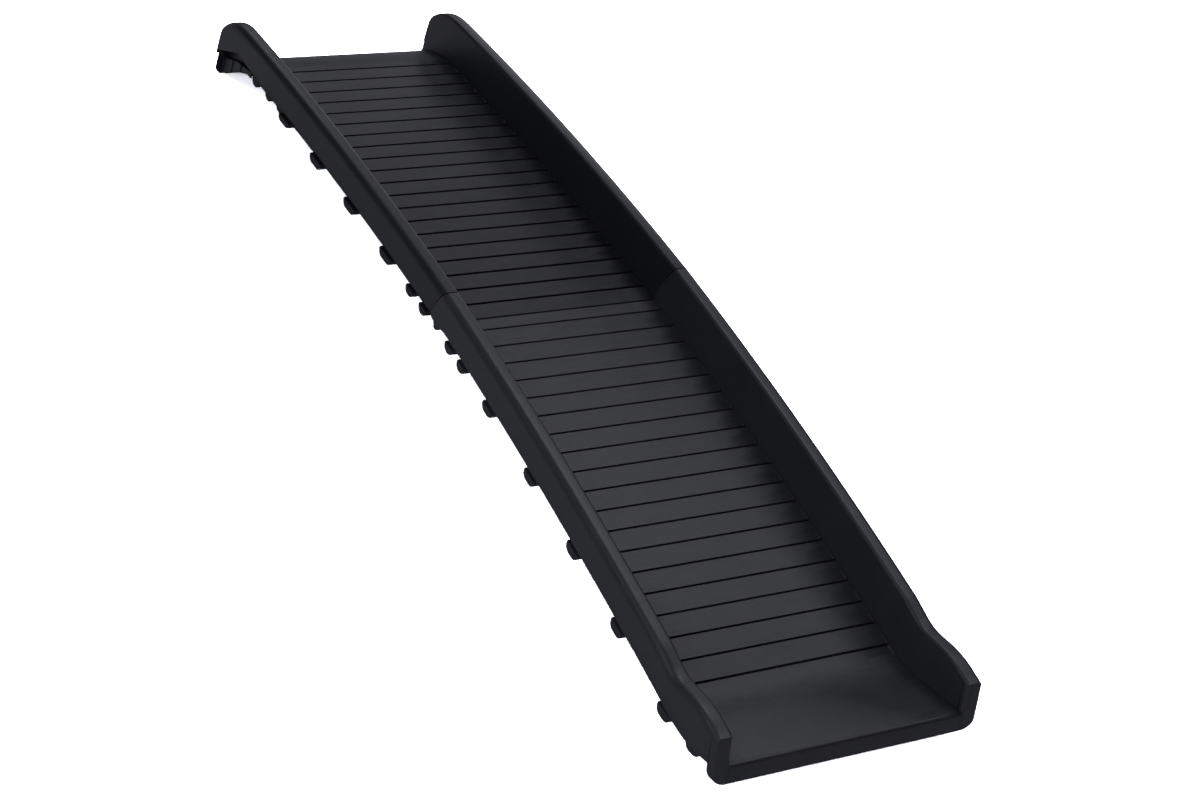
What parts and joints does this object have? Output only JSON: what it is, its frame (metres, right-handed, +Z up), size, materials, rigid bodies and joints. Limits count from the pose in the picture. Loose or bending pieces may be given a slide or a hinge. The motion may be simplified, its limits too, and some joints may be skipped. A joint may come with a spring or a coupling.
{
  "type": "folding dog ramp",
  "caption": "Plastic pet ramp with a bowed slatted deck, raised side rails, upturned entry apron and hooked top end, hinged in the middle to fold flat",
  "frame": {"origin": "middle of the overall box at floor level, ramp open and standing on a level floor", "axes": "+X across the ramp, to the right seen from the low end; +Y along the ramp towards the top end; +Z up"},
  "size_m": [0.4, 1.5556, 0.1517],
  "materials": {
    "lower_moulding": "moulded charcoal plastic with a fine grain",
    "upper_moulding": "moulded charcoal plastic with a fine grain",
    "hinge_rod": "bright drawn steel rod",
    "rod_cap": "black push-on cap",
    "foot_rubber": "black moulded rubber"
  },
  "bodies": {
    "lower": {"lower_half": "lower_moulding", "hinge_pin": "hinge_rod", "hinge_cap_left": "rod_cap", "hinge_cap_right": "rod_cap", "floor_foot_left": "foot_rubber", "floor_foot_right": "foot_rubber"},
    "upper": {"upper_half": "upper_moulding", "sill_pad_left": "foot_rubber", "sill_pad_right": "foot_rubber"}
  },
  "joints": [
    {"name": "fold", "type": "hinge", "parent": "lower", "child": "upper", "pos_m": [0, 0.01915, 0.05781], "axis": [-1, 0, 0], "range_deg": [0, 171]}
  ]
}
